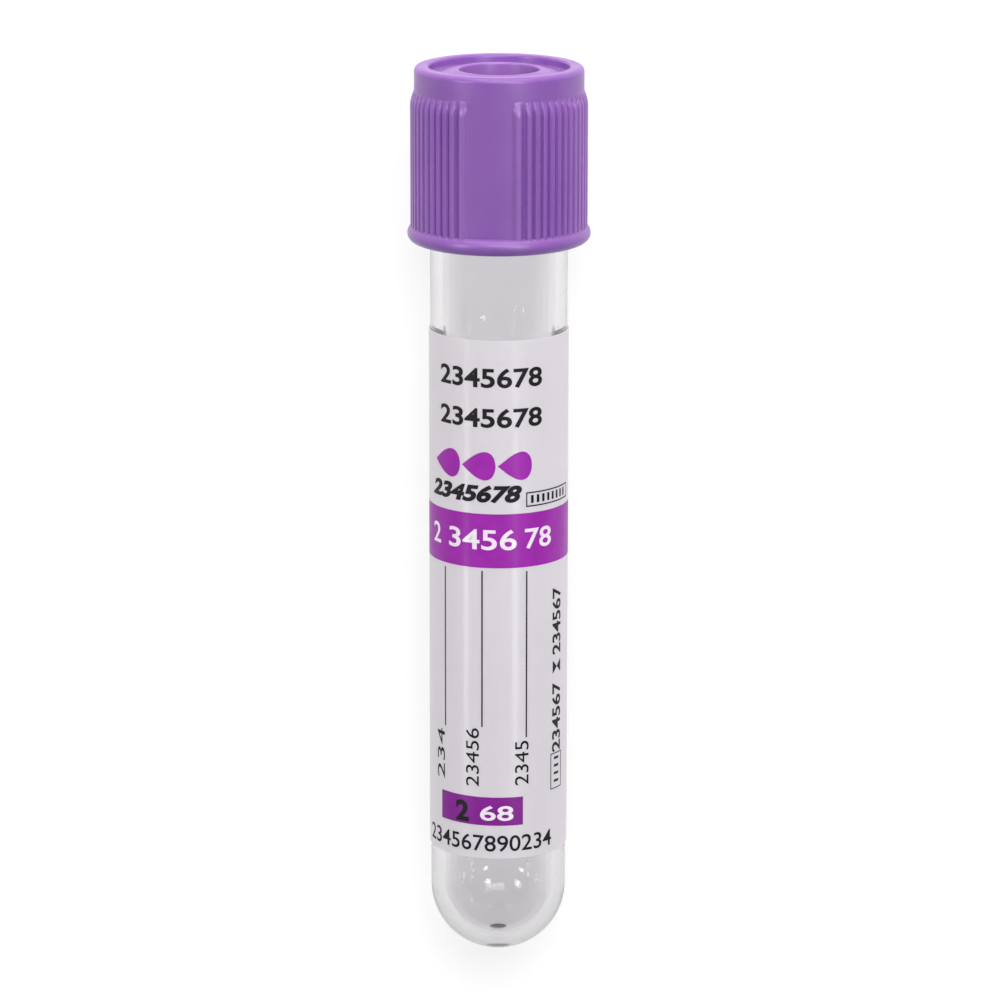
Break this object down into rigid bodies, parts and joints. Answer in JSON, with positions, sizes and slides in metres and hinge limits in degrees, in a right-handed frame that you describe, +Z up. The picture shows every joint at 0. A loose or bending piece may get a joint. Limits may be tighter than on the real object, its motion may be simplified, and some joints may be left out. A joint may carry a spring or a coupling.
{
  "type": "blood collection tube",
  "caption": "Clear round-bottomed evacuated sample tube with a wrapped label, lying on its side, with a ribbed lavender pull-off closure over a rubber stopper.",
  "frame": {"origin": "centre of the bounding box's base, on the surface the tube lies on", "axes": "+Z up; +Y along the tube towards its closure (the tube's own axis rises 1.9 degrees towards +Y); the front of the label faces +Z and its left side is -X"},
  "size_m": [0.0168, 0.0854, 0.0169],
  "materials": {
    "clear_pet": "clear moulded plastic",
    "label_film": "semi-gloss coated label with purple and black print",
    "lavender_plastic": "satin moulded plastic",
    "grey_rubber": "matt moulded butyl rubber",
    "dried_additive": "dried salt"
  },
  "bodies": {
    "tube_body": {"tube": "clear_pet", "label": "label_film", "additive_bead_1": "dried_additive", "additive_bead_2": "dried_additive", "additive_bead_3": "dried_additive", "additive_bead_4": "dried_additive", "additive_bead_5": "dried_additive", "additive_bead_6": "dried_additive", "additive_bead_7": "dried_additive", "additive_bead_8": "dried_additive"},
    "closure": {"closure_shield": "lavender_plastic", "rubber_stopper": "grey_rubber"}
  },
  "joints": [
    {"name": "closure_pull", "type": "slide", "parent": "tube_body", "child": "closure", "axis": [0, 0.9995, 0.0329], "range_m": [0, 0.02]}
  ]
}
